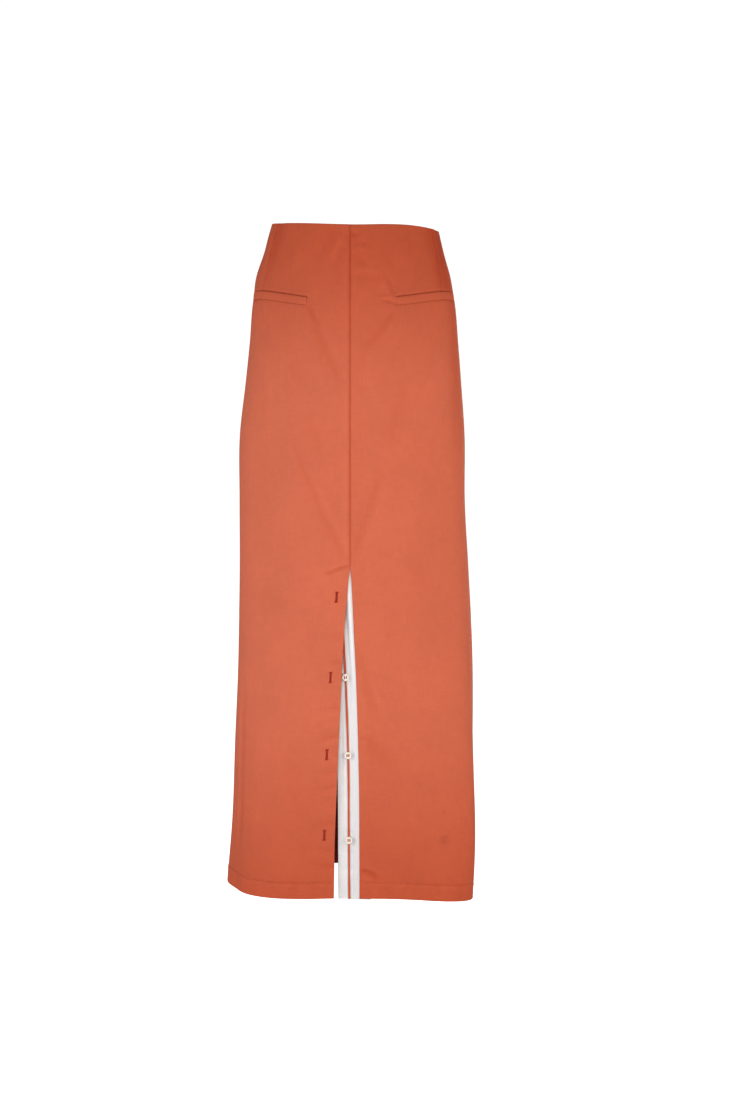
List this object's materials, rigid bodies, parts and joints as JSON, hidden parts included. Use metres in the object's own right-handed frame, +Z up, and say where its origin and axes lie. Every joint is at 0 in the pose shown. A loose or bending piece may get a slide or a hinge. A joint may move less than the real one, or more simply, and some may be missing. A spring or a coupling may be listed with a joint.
{
  "type": "midi skirt",
  "caption": "Long high-waisted cotton skirt, worn and hollow, with welt pockets at the hips and a centre-front slit that buttons over a white underlap.",
  "frame": {"origin": "middle of the waist opening, level with the waist edge at the centre front, where the wearer's waist holds the skirt", "axes": "+Z up, out of the waist opening; -Y towards the front, the face with the slit; +X towards the wearer's left side"},
  "size_m": [0.3487, 0.2739, 0.9369],
  "materials": {
    "terracotta_cotton": "plain-woven terracotta cotton, matt with a faint sheen",
    "white_cotton": "plain white cotton, matt",
    "terracotta_tape": "narrow woven tape, matt",
    "button": "off-white polished resin"
  },
  "bodies": {
    "root": {"front_left": "terracotta_cotton", "front_right": "terracotta_cotton", "back_left": "terracotta_cotton", "back_right": "terracotta_cotton", "pocket_welt_left": "terracotta_cotton", "pocket_welt_right": "terracotta_cotton", "slit_underlap": "white_cotton", "underlap_tape": "terracotta_tape", "button_1": "button", "button_2": "button", "button_3": "button", "button_4": "button"}
  },
  "joints": []
}
